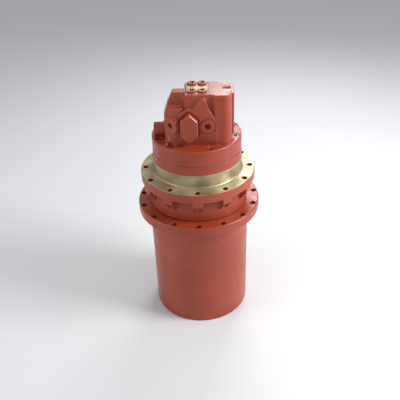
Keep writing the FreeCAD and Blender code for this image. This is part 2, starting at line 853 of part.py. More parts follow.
def make_carrier_screws():
    """Countersunk screws that hold the carrier plate on the posts."""
    head = Part.makeCone(2 * carrier_screw_radius, carrier_screw_radius, carrier_screw_radius,
                         Vector(post_circle_radius, 0, plate_bottom), UP)
    shank = disc(carrier_screw_radius, plate_bottom + carrier_screw_radius, plate_top + carrier_screw_reach,
                 post_circle_radius)
    return circle_of(head.fuse(shank), second_planet_count, 180.0 / second_planet_count)


def make_sun_shaft():
    """Long shaft from the motor, with the first sun at its lower end."""
    gear = spur_gear(sun_teeth, first_bottom - 1, first_top + 1)
    shaft_top = swash_bottom - shaft_bearing_length - shaft_seal_height - 3 * end_gap - 12.0
    shaft = disc(sun_shaft_radius, ring_bottom + end_gap + 0.5, shaft_top)
    return gear.fuse(shaft)


# ================================================================ hydraulic motor
def make_motor_shaft():
    """Stepped shaft; its hollow lower end drives the sun shaft."""
    seal_seat = swash_bottom - shaft_bearing_length - shaft_seal_height - 3 * end_gap
    low = seal_seat - 34.0
    socket_top = seal_seat - 12.0
    return turned([
        (sun_shaft_radius, low),
        (motor_shaft_seal_radius, low),
        (motor_shaft_seal_radius, swash_bottom),
        (motor_shaft_radius, swash_bottom + 2.0),
        (motor_shaft_radius, spigot_bottom + 2.0),
        (motor_shaft_end_radius, spigot_bottom + 2.0),
        (motor_shaft_end_radius, spindle_top + rear_bearing_length),
        (0.0, spindle_top + rear_bearing_length),
        (0.0, socket_top),
        (sun_shaft_radius, socket_top),
    ])


def make_shaft_needle_bearings():
    """Drawn-cup needle bearings: one in the spindle's web, one in the motor cover."""
    front_top = swash_bottom - 2 * end_gap
    front = tube(motor_shaft_seal_radius + running_clearance, shaft_bore_radius,
                 front_top - shaft_bearing_length, front_top)
    rear = tube(motor_shaft_end_radius + running_clearance, rear_bearing_radius,
                spindle_top, spindle_top + rear_bearing_length)
    return [front, rear]


def make_shaft_seal():
    """Lip seal below the front bearing; it keeps motor oil out of the gears."""
    bottom = swash_bottom - shaft_bearing_length - shaft_seal_height - 3 * end_gap
    return turned([
        (motor_shaft_seal_radius + running_clearance, bottom + 2.0),
        (motor_shaft_seal_radius + 2.0, bottom),
        (shaft_bore_radius, bottom),
        (shaft_bore_radius, bottom + shaft_seal_height),
        (motor_shaft_seal_radius + 4.0, bottom + shaft_seal_height),
        (motor_shaft_seal_radius + running_clearance, bottom + 4.0),
    ])


def make_swash_plate():
    """Swash plate, drawn in its neutral plane, with the flats that the control pistons push."""
    plate = tube(swash_hole_radius, swash_bore_radius - 1.0, swash_bottom, swash_face - lapped_gap)
    flat = 8.0
    side = swash_bore_radius - 1.0 - flat
    for sign in (-1, 1):
        start = side if sign > 0 else -side - 2 * flat
        plate = plate.cut(Part.makeBox(2 * flat, 40.0, swash_thickness,
                                       Vector(start, -20.0, swash_bottom + swash_thickness / 2)))
    return plate


def make_cylinder_block():
    """Cylinder block with its piston bores and the ports that open on the valve plate."""
    block = tube(motor_shaft_radius, block_radius, block_bottom, block_top - lapped_gap)
    bore = disc(piston_radius, block_bottom - 1, block_bottom + piston_bore_depth, piston_circle_radius)
    port = disc(piston_radius / 2, block_bottom, block_top + 1, piston_circle_radius)
    return block.cut(circle_of(bore.fuse(port), piston_count))


def make_pistons():
    """Pistons at mid stroke, each with the stud that carries its slipper."""
    radius = piston_radius - running_clearance
    top = block_bottom + piston_bore_depth - piston_top_gap
    body = disc(radius, slipper_top + 1.0, top, piston_circle_radius)
    stud = disc(ball_stud_radius, swash_face + slipper_flange + 2.0, slipper_top + 1.0, piston_circle_radius)
    return circle_of(body.fuse(stud), piston_count)


def make_slippers():
    """Slippers that slide on the swash plate."""
    socket = swash_face + slipper_flange + 2.0
    slipper = disc(slipper_radius, swash_face, swash_face + slipper_flange, piston_circle_radius)
    slipper = slipper.fuse(disc(slipper_neck_radius, swash_face, slipper_top, piston_circle_radius))
    slipper = slipper.cut(disc(ball_stud_radius, socket, slipper_top + 1, piston_circle_radius))
    return circle_of(slipper, piston_count)


def make_retainer_plate():
    """Plate that holds the slippers down, on its ball guide around the shaft."""
    bottom = swash_face + slipper_flange
    top = bottom + retainer_thickness
    plate = tube(motor_shaft_radius, piston_circle_radius + slipper_radius, bottom, top)
    guide = Part.makeCone(motor_shaft_radius + ball_guide_wall, motor_shaft_radius + ball_guide_top_wall,
                          ball_guide_height, Vector(0, 0, top), UP)
    guide = guide.cut(disc(motor_shaft_radius, bottom, top + ball_guide_height + 1))
    hole = disc(slipper_neck_radius + retainer_hole_gap, bottom - 1, top + 1, piston_circle_radius)
    return plate.fuse(guide).cut(circle_of(hole, piston_count))


def make_valve_plate():
    """Port plate with two kidney slots."""
    plate = tube(motor_shaft_radius + 1.0, valve_plate_radius, block_top, spigot_bottom)
    slot_sweep = 130.0
    outer = Part.makeCylinder(piston_circle_radius + piston_radius / 2, valve_plate_thickness + 2,
                              Vector(0, 0, block_top - 1), UP, slot_sweep)
    slot = outer.cut(disc(piston_circle_radius - piston_radius / 2, block_top - 2, spigot_bottom + 2))
    return plate.cut([turned_copy(slot, -slot_sweep / 2), turned_copy(slot, 180.0 - slot_sweep / 2)])


def brake_disc_levels():
    """Lower face of each disc of the brake pack; separators and friction discs take turns."""
    step = brake_disc_thickness + brake_disc_gap
    return [brake_seat + step * i for i in range(2 * friction_disc_count + 1)]


def make_friction_discs():
    """Friction discs, splined on the cylinder block."""
    outer = brake_bore_radius - 2.5
    levels = brake_disc_levels()[1::2]
    return [tube(block_radius, outer, level, level + brake_disc_thickness) for level in levels]


def make_separator_plates():
    """Steel separator plates, held by the spindle."""
    inner = block_radius + 2.5
    levels = brake_disc_levels()[0::2]
    return [tube(inner, brake_bore_radius, level, level + brake_disc_thickness) for level in levels]


def brake_piston_bottom():
    """Rest level of the brake piston, on the last separator plate."""
    return brake_disc_levels()[-1] + brake_disc_thickness + brake_disc_gap


def brake_piston_top():
    """Rest level of the brake piston's upper face."""
    return spigot_bottom - brake_spring_closed - brake_travel


def make_brake_piston():
    """Stepped ring that the disc spring pushes down and oil pushes up."""
    inner = brake_bore_radius - brake_piston_wall
    return turned([
        (inner, brake_piston_bottom()),
        (brake_bore_radius - running_clearance, brake_piston_bottom()),
        (brake_bore_radius - running_clearance, brake_ledge + end_gap),
        (cavity_radius - running_clearance, brake_ledge + end_gap),
        (cavity_radius - running_clearance, brake_piston_top()),
        (inner, brake_piston_top()),
    ])


def make_brake_spring():
    """Disc spring between the brake piston and the motor cover."""
    inner = brake_bore_radius - brake_piston_wall
    outer = cavity_radius - 1.0
    thick = 4.0
    low = brake_piston_top()
    return turned([
        (outer, low),
        (outer, low + thick),
        (inner, spigot_bottom),
        (inner, spigot_bottom - thick),
    ])


# ================================================================ motor cover with its valve body
def spool_axis_height():
    """Level of the counterbalance spool."""
    return cover_top + spool_height


def relief_direction():
    """The way the relief plug faces."""
    angle = math.radians(relief_angle)
    return Vector(-math.sin(angle), -math.cos(angle), 0)


def relief_face():
    """Centre of the relief boss's outer face."""
    root = Vector(relief_root_x, relief_root_y, cover_top + relief_height)
    return root + relief_direction() * relief_boss_length


def front_pad():
    """Raised front pad: a low lobe about the spool cap and a tall one beside it."""
    base = cover_top + foot_height / 2
    left = spool_x - pad_side
    right = speed_x + pad_right
    low_top = spool_axis_height() + pad_low_top
    tall_top = spool_axis_height() + pad_tall_top
    tall_x = (spool_x + speed_x) / 2 + pad_side * 0.4
    wide = (tall_top - low_top) / 2

    def at(x, z):
        return Vector(x, body_front, z)

    edges = [
        Part.LineSegment(at(left, base), at(left + 2, low_top - 27)),
        Part.Arc(at(left + 2, low_top - 27), at(left + 9, low_top - 8), at(spool_x, low_top)),
        Part.LineSegment(at(spool_x, low_top), at(tall_x - 2 * wide, low_top - 1)),
        Part.LineSegment(at(tall_x - 2 * wide, low_top - 1), at(tall_x - 0.75 * wide, tall_top - 6)),
        Part.Arc(at(tall_x - 0.75 * wide, tall_top - 6), at(tall_x, tall_top),
                 at(tall_x + 0.75 * wide, tall_top - 6)),
        Part.LineSegment(at(tall_x + 0.75 * wide, tall_top - 6), at(tall_x + 1.4 * wide, low_top - 5)),
        Part.Arc(at(tall_x + 1.4 * wide, low_top - 5), at(right - 6, low_top - 20), at(right, low_top - 44)),
        Part.LineSegment(at(right, low_top - 44), at(right, base)),
        Part.LineSegment(at(right, base), at(left, base)),
    ]
    face = Part.Face(Part.Wire([edge.toShape() for edge in edges]))
    pad = face.extrude(Vector(0, -pad_depth, 0))
    rim = [edge for edge in pad.Edges if edge.BoundBox.YMax < body_front - pad_depth + 0.1
           and edge.BoundBox.ZMax > base + 1]
    return pad.makeFillet(pad_edge_round, rim)


def side_prism(outline, front, back):
    """A prism on a closed outline of (x, z) points, from its front face to its back face."""
    points = [Vector(x, front, z) for x, z in outline]
    face = Part.Face(Part.makePolygon(points + points[:1]))
    return face.extrude(Vector(0, back - front, 0))


def valve_body():
    """Cast valve body on the cover disc, in the rough; bores are cut later."""
    low = cover_top - 1.0
    inside = body_left + 10.0
    main = rounded_prism(
        [(body_left, body_front), (body_proud_left - body_proud, body_front),
         (body_proud_left, body_front - body_proud), (body_right, body_front - body_proud),
         (body_right - 2, body_back), (body_left, body_back - 1)],
        [6, 4, 4, body_corner_round, 8, 8],
        low, body_top)
    crown = [edge for edge in main.Edges if edge.BoundBox.ZMin > body_top - 0.1]
    main = main.makeFillet(body_edge_round, crown)
    side = side_prism([(inside, low), (side_left, low), (side_left, cover_top + side_straight),
                       (ledge_left, cover_top + ledge_height), (inside, cover_top + ledge_height)],
                      side_front, side_back)
    plan = rounded_prism([(side_left, side_front), (inside, side_front),
                          (inside, side_back), (side_left, side_back)],
                         [side_round, 0, 0, 0], low, cover_top + ledge_height)
    side = side.common(plan)
    shoulder = side_prism([(inside, cover_top + ledge_height - 6),
                           (ledge_left, cover_top + ledge_height - 6),
                           (ledge_left, cover_top + ledge_height),
                           (shoulder_left, body_top), (inside, body_top)],
                          shoulder_front, shoulder_back)
    block_front = side_front + side_round
    connector_block = Part.makeBox(inside - side_left, connector_back - block_front, connector_block_height,
                                   Vector(side_left, block_front, low))
    tail = rounded_prism(
        [(tail_left, body_back - 12), (tail_right, body_back - 12),
         (tail_right, tail_back), (tail_left, tail_back)],
        [0, 0, 12, 12],
        low, cover_top + tail_height)
    foot = rounded_prism(
        [(side_left, body_front - 5), (body_right - 6, body_front - 5),
         (body_right + 2, body_back + 2), (side_left, body_back + 2)],
        [10, 20, 10, 10],
        low, cover_top + foot_height)
    port_pad = rounded_prism(
        [(body_right - 12, port_pad_front), (body_right + port_pad_depth, port_pad_front),
         (body_right + port_pad_depth, port_pad_back), (body_right - 12, port_pad_back)],
        [0, 4, 4, 0],
        cover_top + 2 * foot_height, body_top - foot_height)
    column_centre = relief_face() - relief_direction() * (relief_column_radius + 0.5)
    column = disc(relief_column_radius, low, cover_top + relief_column_height,
                  column_centre.x, column_centre.y)
    boss = rod(Vector(relief_root_x, relief_root_y, cover_top + relief_height), relief_direction(),
               relief_boss_length, relief_boss_radius)
    return main.fuse([side, shoulder, connector_block, tail, foot, port_pad, column, boss, front_pad()])


def make_motor_cover():
    """Cover disc and valve body in one casting, with its bores, ports, pockets and screw seats."""
    disc_part = disc(cover_radius, spindle_top, cover_top)
    rim = [edge for edge in disc_part.Edges if edge.BoundBox.ZMin > cover_top - 0.1 and edge.Closed]
    disc_part = disc_part.makeFillet(cover_edge_round, rim)
    spigot = disc(cavity_radius, spigot_bottom, spindle_top + 1)
    cover = disc_part.fuse([spigot, valve_body()])

    cuts = [disc(rear_bearing_radius, spigot_bottom - 1, spindle_top + rear_bearing_length + 1)]
    for x in (-piston_circle_radius, piston_circle_radius):
        cuts.append(disc(piston_radius - 1, spigot_bottom - 1, cover_top + 14, x))
    head = cover_screw_radius * socket_head_ratio + screw_clearance
    for degrees in cover_screw_angles:
        place = polar(cover_screw_circle_radius, FRONT + degrees)
        cuts.append(disc(cover_screw_radius + screw_clearance, spindle_top - 1, cover_top + 1,
                         place.x, place.y))
        cuts.append(disc(head, cover_top - 2 * cover_screw_radius - 1, cover_top + foot_height + 2,
                         place.x, place.y))

    # counterbalance spool bore, with the recess that its front cap sits in
    back = Vector(0, 1, 0)
    pad_face = body_front - pad_depth
    cuts.append(rod(Vector(spool_x, pad_face - 1, spool_axis_height()), back,
                    tail_back - pad_face + 2, spool_radius))
    cuts.append(cap_recess_cut(pad_face))
    # speed spool bore with its spot face
    speed_mouth = Vector(speed_x, pad_face - 1, cover_top + speed_height)
    cuts.append(rod(speed_mouth, back, speed_bore_depth + 1, speed_spool_radius))
    cuts.append(rod(speed_mouth, back, spotface_depth + 1, speed_spotface_radius))
    # relief cartridge bore
    inward = relief_direction() * -1
    cuts.append(rod(relief_face() - inward, inward, relief_stem_length + 2, relief_stem_radius))
    # drain connector bore on the left
    cuts.append(rod(Vector(side_left - 1, connector_y, cover_top + connector_height), Vector(1, 0, 0),
                    connector_stem + 3, connector_radius * 0.6))
    # main ports on the right, small ports at the back
    for height in (port_low, port_high):
        mouth = Vector(body_right + port_pad_depth + 1, port_y, cover_top + height)
        cuts.append(rod(mouth, Vector(-1, 0, 0), port_depth + 1, port_radius))
    for x in small_port_x:
        cuts.append(rod(Vector(x, tail_back + 1, cover_top + small_port_height), Vector(0, -1, 0),
                        small_port_depth + 1, small_port_radius))
    # control cover seat and its threads on the top
    cuts.append(control_cover_blank(body_top - control_cover_thickness, body_top + 1, seat_clearance))
    for x, y in control_screw_places():
        cuts.append(disc(control_screw_radius, body_top - control_screw_length - 2, body_top, x, y))
    # two shallow cast pockets at the right edge of the top
    for front, rear in ((-40.0, -16.0), (-5.0, body_back + 2)):
        cuts.append(Part.makeBox(20.0, rear - front, 4.0, Vector(body_right - 19.0, front, body_top - 3.0)))
    return cover.cut(cuts)


def control_screw_places():
    """The four screw places on the top of the valve body."""
    places = []
    for sx in (-0.5, 0.5):
        for sy in (-0.5, 0.5):
            places.append((control_centre_x + sx * control_pitch_x, control_centre_y + sy * control_pitch_y))
    return places


def control_cover_blank(bottom, top, grow=0.0):
    """Plan of the control cover: a rounded rectangle about its four screws."""
    half_x = control_pitch_x / 2 + control_head_radius + control_cover_margin + grow
    half_y = control_pitch_y / 2 + control_head_radius + control_cover_margin + grow
    x, y = control_centre_x, control_centre_y
    corner = control_head_radius
    return rounded_prism([(x - half_x, y - half_y), (x + half_x, y - half_y),
                          (x + half_x, y + half_y), (x - half_x, y + half_y)],
                         [corner] * 4, bottom, top)


def make_control_cover():
    """Flush cover of the speed control passages."""
    cover = control_cover_blank(body_top - control_cover_thickness, body_top)
    sink = body_top + control_head_proud - control_head_height
    holes = []
    for x, y in control_screw_places():
        holes.append(disc(control_screw_radius + screw_clearance, body_top - control_cover_thickness - 1,
                          body_top + 1, x, y))
        holes.append(disc(control_head_radius + screw_clearance, sink, body_top + 1, x, y))
    return cover.cut(holes)


def make_control_cover_screws():
    """Four socket screws whose heads stand a little proud of the top."""
    screws = []
    for x, y in control_screw_places():
        top = body_top + control_head_proud
        head = disc(control_head_radius, top - control_head_height, top, x, y)
        shank = disc(control_screw_radius, body_top - control_screw_length, top - control_head_height, x, y)
        socket = hex_bar(control_screw_radius * 1.6, Vector(x, y, top), UP * -1, control_head_height * 0.6)
        screws.append(head.fuse(shank).cut(socket))
    return screws


def make_cover_screws():
    """Socket screws that hold the motor cover on the spindle."""
    head_radius = cover_screw_radius * socket_head_ratio
    screws = []
    for degrees in cover_screw_angles:
        place = polar(cover_screw_circle_radius, FRONT + degrees)
        screws.append(socket_screw(cover_screw_radius, cover_top - 1.0, cover_screw_length, head_radius,
                                   place.x, place.y))
    return screws


# ================================================================ valves and plugs of the cover
def cap_outline(grow):
    """The cap's six corners as (x, z), moved outwards by a gap."""
    half = spool_cap_width / 2 + grow
    high = spool_cap_height / 2 + grow
    level = spool_axis_height()
    ring = [(0, high), (half, high / 2), (half, -high / 2),
            (0, -high), (-half, -high / 2), (-half, high / 2)]
    return [(spool_x + x, level + z) for x, z in ring]


def cap_recess_cut(pad_face):
    """The recess that the cap sits in: its outline grown by a gap, with rounded corners."""
    outline = [(x, z) for x, z in reversed(cap_outline(cap_recess_gap))]
    blank = rounded_prism(outline, [cap_recess_round] * 6, -(pad_face + cap_recess), -(pad_face - 1))
    blank.rotate(Vector(0, 0, 0), Vector(1, 0, 0), 90)
    return blank


def make_spool_cap():
    """Six-sided front cap of the counterbalance spool, with bevelled edges and a stem."""
    floor = body_front - pad_depth + cap_recess
    face_y = floor - spool_cap_depth - cap_recess

    def six_sided(y, shrink):
        points = [Vector(x, y, z) for x, z in cap_outline(-shrink)]
        return Part.makePolygon(points + points[:1])

    body = Part.makeLoft([six_sided(floor, 0), six_sided(face_y + cap_bevel, 0)], True, True)
    crown = Part.makeLoft([six_sided(face_y + cap_bevel, 0), six_sided(face_y, cap_bevel)], True, True)
    stem = rod(Vector(spool_x, floor, spool_axis_height()), Vector(0, 1, 0), cap_stem, spool_radius)
    return body.fuse([crown, stem]).removeSplitter()


def make_spool_rear_cap():
    """Hexagon plug at the rear end of the counterbalance bore."""
    start = Vector(spool_x, tail_back, spool_axis_height())
    head = hex_bar(rear_cap_across, start, Vector(0, 1, 0), rear_cap_depth)
    return head.fuse(rod(start, Vector(0, -1, 0), cap_stem, spool_radius))


def spool_start():
    """Front end of the counterbalance spool at rest."""
    return body_front - pad_depth + cap_recess + cap_stem + spool_travel + 2 * stop_gap


def make_counterbalance_spool():
    """Spool with three lands and two grooves."""
    land = spool_radius - running_clearance
    groove = spool_radius * 0.6
    start = spool_start()
    spool = rod(Vector(spool_x, start, spool_axis_height()), Vector(0, 1, 0), spool_length, land)
    groove_width = spool_length / 5
    for place in (1, 3):
        at = Vector(spool_x, start + place * groove_width, spool_axis_height())
        ring = rod(at, Vector(0, 1, 0), groove_width, spool_radius + 1)
        spool = spool.cut(ring.cut(rod(at, Vector(0, 1, 0), groove_width, groove)))
    return spool


def make_spool_spring():
    """Centring spring between the spool and the rear cap, drawn as its envelope."""
    start = spool_start() + spool_length
    end = tail_back - cap_stem
    at = Vector(spool_x, start, spool_axis_height())
    outer = rod(at, Vector(0, 1, 0), end - start, spool_radius - 2)
    return outer.cut(rod(at, Vector(0, 1, 0), end - start, spool_radius - 5))


def speed_start():
    """Front end of the speed spool at rest."""
    return body_front - pad_depth + spotface_depth + cap_stem + stop_gap


def make_speed_plug():
    """Socket plug at the front end of the speed spool bore."""
    level = cover_top + speed_height
    face = body_front - pad_depth + spotface_depth
    front = Vector(speed_x, face - speed_plug_rim, level)
    rim = rod(front, Vector(0, 1, 0), speed_plug_rim, speed_plug_radius)
    stem = rod(Vector(speed_x, face, level), Vector(0, 1, 0), cap_stem, speed_spool_radius)
    socket = hex_bar(12.0, Vector(speed_x, face - speed_plug_rim, level), Vector(0, 1, 0), 9.0)
    return rim.fuse(stem).cut(socket)


def make_speed_spool():
    """Small spool that switches the motor between its two speeds."""
    at = Vector(speed_x, speed_start(), cover_top + speed_height)
    spool = rod(at, Vector(0, 1, 0), speed_spool_length, speed_spool_radius - running_clearance)
    groove_at = Vector(speed_x, speed_start() + speed_spool_length / 3, cover_top + speed_height)
    ring = rod(groove_at, Vector(0, 1, 0), speed_spool_length / 3, speed_spool_radius + 1)
    core = rod(groove_at, Vector(0, 1, 0), speed_spool_length / 3, speed_spool_radius * 0.6)
    return spool.cut(ring.cut(core))


def make_speed_spring():
    """Return spring of the speed spool, drawn as its envelope."""
    start = speed_start() + speed_spool_length
    end = body_front - pad_depth + speed_bore_depth
    at = Vector(speed_x, start, cover_top + speed_height)
    outer = rod(at, Vector(0, 1, 0), end - start, speed_spool_radius - 1.5)
    return outer.cut(rod(at, Vector(0, 1, 0), end - start, speed_spool_radius - 4))


def make_relief_valve():
    """Relief cartridge with its round socket plug, facing left of the front."""
    out = relief_direction()
    rim = rod(relief_face(), out, relief_plug_rim, relief_plug_radius)
    stem = rod(relief_face(), out * -1, relief_stem_length, relief_stem_radius)
    socket = hex_bar(relief_socket, relief_face() + out * relief_plug_rim, out * -1, relief_socket * 0.7)
    return rim.fuse(stem).cut(socket)


def make_drain_connector():
    """Straight connector for the case drain, on the left side."""
    level = cover_top + connector_height
    start = Vector(side_left, connector_y, level)
    body = rod(start, Vector(-1, 0, 0), connector_length, connector_radius)
    stem = rod(start, Vector(1, 0, 0), connector_stem, connector_radius * 0.6)
    bore = rod(Vector(side_left - connector_length - 1, connector_y, level), Vector(1, 0, 0),
               connector_bore_depth + 1, connector_radius * 0.4)
    return body.fuse(stem).cut(bore)


# ================================================================ the nodes
write("hub_housing", make_hub_housing())
write("ring_gear", make_ring_gear())
write("end_cover", make_end_cover())
cover_head = end_cover_screw_radius * socket_head_ratio
write("end_cover_screws", circle_of(
    socket_screw(end_cover_screw_radius, end_cover_inset + 0.5, end_cover_screw_length, cover_head,
                 end_cover_screw_circle_radius, 0, -1), end_cover_screw_count, FRONT))
write("end_cover_plugs", make_end_cover_plugs())
write("end_cover_oring", make_end_cover_oring())
write("bearing_outer_rings", bearing_pair(outer_ring))
write("bearing_inner_rings", bearing_pair(inner_ring))
write("bearing_rollers", bearing_pair(rollers))
write("bearing_spacer", tube(journal_radius, journal_radius + bearing_spacer_wall,
                             lower_bearing_top, upper_bearing_bottom))
write("bearing_nut", make_bearing_nut())
hub_metal, hub_toric = seal_half(-1)
spindle_metal, spindle_toric = seal_half(1)
write("hub_seal_ring", hub_metal)
write("hub_seal_toric", hub_toric)
write("spindle_seal_ring", spindle_metal)
write("spindle_seal_toric", spindle_toric)

write("spindle", make_spindle())
write("sun_shaft", make_sun_shaft())
for i, gear in enumerate(circle_of(planet_gear(first_bottom, first_top), first_planet_count)):
    write("first_planet_%d" % (i + 1), gear)
for i, gear in enumerate(circle_of(planet_gear(second_bottom, second_top), second_planet_count)):
    write("second_planet_%d" % (i + 1), gear)
write("first_carrier", make_first_carrier())
write("first_planet_pins", planet_pins(first_planet_count, first_bottom - 3.0, carrier_top))
write("first_planet_needles", planet_needles(first_planet_count, first_bottom, carrier_bottom))
washer_top = first_bottom - stop_gap
write("planet_washers", circle_of(tube(planet_pin_radius, washer_radius, washer_top - washer_thickness,
                                       washer_top, centre_distance), first_planet_count))
write("second_sun", make_second_sun())
write("second_planet_pins", planet_pins(second_planet_count, plate_bottom, carrier_face + pin_seat_depth))
write("second_planet_needles", planet_needles(second_planet_count, plate_top, carrier_face))
write("carrier_plate", make_carrier_plate())
write("carrier_screws", make_carrier_screws())

write("motor_shaft", make_motor_shaft())
write("shaft_needle_bearings", make_shaft_needle_bearings())
write("shaft_seal", make_shaft_seal())
write("swash_plate", make_swash_plate())
write("slippers", make_slippers())
write("retainer_plate", make_retainer_plate())
write("pistons", make_pistons())
write("cylinder_block", make_cylinder_block())
write("valve_plate", make_valve_plate())
write("friction_discs", make_friction_discs())
write("separator_plates", make_separator_plates())
write("brake_piston", make_brake_piston())
write("brake_disc_spring", make_brake_spring())

write("motor_cover", make_motor_cover())
write("motor_cover_screws", make_cover_screws())
write("control_cover", make_control_cover())
write("control_cover_screws", make_control_cover_screws())
write("spool_cap", make_spool_cap())
write("spool_rear_cap", make_spool_rear_cap())
write("counterbalance_spool", make_counterbalance_spool())
write("spool_spring", make_spool_spring())
write("speed_plug", make_speed_plug())
write("speed_spool", make_speed_spool())
write("speed_spring", make_speed_spring())
write("relief_valve", make_relief_valve())
write("drain_connector", make_drain_connector())
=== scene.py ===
"""Looks of the excavator final drive: primer paint, machined faces, steel and a pale studio."""
import bmesh
import bpy
import json
import math
from mathutils import Matrix, Vector


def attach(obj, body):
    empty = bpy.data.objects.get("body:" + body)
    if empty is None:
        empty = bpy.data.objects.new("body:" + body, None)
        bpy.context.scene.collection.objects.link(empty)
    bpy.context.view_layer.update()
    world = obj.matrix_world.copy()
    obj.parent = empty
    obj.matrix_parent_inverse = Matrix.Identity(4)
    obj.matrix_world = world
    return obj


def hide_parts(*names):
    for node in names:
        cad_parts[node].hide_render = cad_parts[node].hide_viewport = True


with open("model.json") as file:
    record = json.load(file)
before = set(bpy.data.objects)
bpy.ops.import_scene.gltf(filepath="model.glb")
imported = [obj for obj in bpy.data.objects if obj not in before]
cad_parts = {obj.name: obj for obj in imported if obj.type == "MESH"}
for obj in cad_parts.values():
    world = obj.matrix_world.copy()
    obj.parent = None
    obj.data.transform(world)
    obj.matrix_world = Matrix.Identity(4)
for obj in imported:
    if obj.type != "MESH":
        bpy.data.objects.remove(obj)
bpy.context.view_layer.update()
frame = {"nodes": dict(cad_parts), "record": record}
nodes = frame["nodes"]

# ---------------------------------------------------------------- hub
# The hub is one ductile iron casting, sprayed with oxide red primer. The end cover closes its
# lower end with socket screws; the sprocket bolts on the flange from below.
primer_red = (0.265, 0.034, 0.0115)
primer_worn = (0.315, 0.047, 0.018)
cast_grain = 0.00006             # height of the cast skin under the paint, metres
cloud_scale = 9.0                # worn patches of the primer
grain_scale = 700.0              # grains of the cast skin
merge_distance = 0.000002        # corners nearer than this are one corner, metres
broken_from = math.radians(28.0)  # edges that turn further than this are broken
sharp_from = math.radians(38.0)  # edges that turn further than this stay sharp in the shading


def new_surface(name):
    """A material with its shader and the object's own coordinates."""
    surface = bpy.data.materials.new(name)
    surface.use_nodes = True
    tree = surface.node_tree
    place = tree.nodes.new("ShaderNodeTexCoord")
    return surface, tree, tree.nodes["Principled BSDF"], place.outputs["Object"]


def speckle(tree, place, scale, detail=3.0, stretch=(1.0, 1.0, 1.0)):
    """Noise over the surface; stretch squeezes it along an axis."""
    turn = tree.nodes.new("ShaderNodeMapping")
    turn.inputs["Scale"].default_value = stretch
    noise = tree.nodes.new("ShaderNodeTexNoise")
    noise.inputs["Scale"].default_value = scale
    noise.inputs["Detail"].default_value = detail
    tree.links.new(place, turn.inputs["Vector"])
    tree.links.new(turn.outputs["Vector"], noise.inputs["Vector"])
    return noise.outputs["Fac"]


def band(tree, value, low, high, start, end):
    """Map a value from one range to another, clamped."""
    node = tree.nodes.new("ShaderNodeMapRange")
    node.inputs["From Min"].default_value = low
    node.inputs["From Max"].default_value = high
    node.inputs["To Min"].default_value = start
    node.inputs["To Max"].default_value = end
    tree.links.new(value, node.inputs["Value"])
    return node.outputs["Result"]


def blend_colours(tree, share, first, second):
    """Mix two colours or two colour outputs by a share."""
    node = tree.nodes.new("ShaderNodeMix")
    node.data_type = "RGBA"
    first_socket, second_socket, result = node.inputs[6], node.inputs[7], node.outputs[2]
    tree.links.new(share, node.inputs["Factor"])
    for socket, colour in ((first_socket, first), (second_socket, second)):
        if hasattr(colour, "links"):
            tree.links.new(colour, socket)
        else:
            socket.default_value = (*colour, 1.0)
    return result


def raise_grain(tree, shader, height, distance, strength=0.5):
    """Give the shader a bump from a height output."""
    bump = tree.nodes.new("ShaderNodeBump")
    bump.inputs["Distance"].default_value = distance
    bump.inputs["Strength"].default_value = strength
    tree.links.new(height, bump.inputs["Height"])
    tree.links.new(bump.outputs["Normal"], shader.inputs["Normal"])


def worn_patches(tree, place):
    """Where the primer is worn, as soft patches from 0 to 1."""
    return band(tree, speckle(tree, place, cloud_scale, 5.0), 0.38, 0.64, 0.0, 1.0)


def primer(name, colour, worn, grain=cast_grain, gloss=(0.27, 0.42)):
    """Sprayed primer over a cast or machined skin."""
    surface, tree, shader, place = new_surface(name)
    grains = speckle(tree, place, grain_scale, 2.0)
    mottled = blend_colours(tree, worn_patches(tree, place), colour, worn)
    dark = tuple(0.75 * part for part in colour)
    fine = band(tree, grains, 0.30, 0.42, 0.12, 0.0)
    tree.links.new(blend_colours(tree, fine, mottled, dark), shader.inputs["Base Color"])
    roughness = band(tree, speckle(tree, place, 34.0, 4.0), 0.35, 0.65, *gloss)
    tree.links.new(roughness, shader.inputs["Roughness"])
    raise_grain(tree, shader, grains, grain, 0.35)
    return surface


def wear(node_names, surface):
    """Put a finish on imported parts."""
    for node_name in node_names:
        nodes[node_name].data.materials.clear()
        nodes[node_name].data.materials.append(surface)


def soften(node_name, surface, round_off):
    """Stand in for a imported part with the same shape, its corners broken and its curves smooth."""
    mesh = nodes[node_name].data.copy()
    work = bmesh.new()
    work.from_mesh(mesh)
    bmesh.ops.remove_doubles(work, verts=work.verts, dist=merge_distance)
    edges = [edge for edge in work.edges if len(edge.link_faces) == 2 and edge.is_convex
             and edge.calc_face_angle() > broken_from]
    bmesh.ops.bevel(work, geom=edges, offset=round_off, offset_type="OFFSET", segments=2, affect="EDGES",
                    profile=0.5, material=-1)
    bmesh.ops.remove_doubles(work, verts=work.verts, dist=merge_distance)
    for face in work.faces:
        face.smooth = True
    work.to_mesh(mesh)
    work.free()
    mesh.set_sharp_from_angle(angle=sharp_from)
    mesh.materials.clear()
    mesh.materials.append(surface)
    piece = bpy.data.objects.new(node_name + "_finished", mesh)
    bpy.context.scene.collection.objects.link(piece)
    even = piece.modifiers.new("even shading", "WEIGHTED_NORMAL")
    even.keep_sharp = True
    even.weight = 100
    bodies = frame["record"]["behaviour"]["bodies"]
    body = next(name for name, held in bodies.items() if node_name in held)
    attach(piece, body)
    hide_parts(node_name)


drum_primer = primer("hub primer", primer_red, primer_worn)
wear(["end_cover"], drum_primer)
soften("hub_housing", drum_primer, 0.0008)

# ---------------------------------------------------------------- inner screws, plugs and rubber rings
# Black oxide socket screws and plugs of alloy steel. The O-ring, the toric rings of the face seal
# and the lip seal of the motor shaft are nitrile rubber.
oxide_black = (0.022, 0.022, 0.025)
oxide_worn = (0.05, 0.048, 0.046)
rubber_black = (0.014, 0.014, 0.015)
rubber_grey = (0.026, 0.025, 0.025)


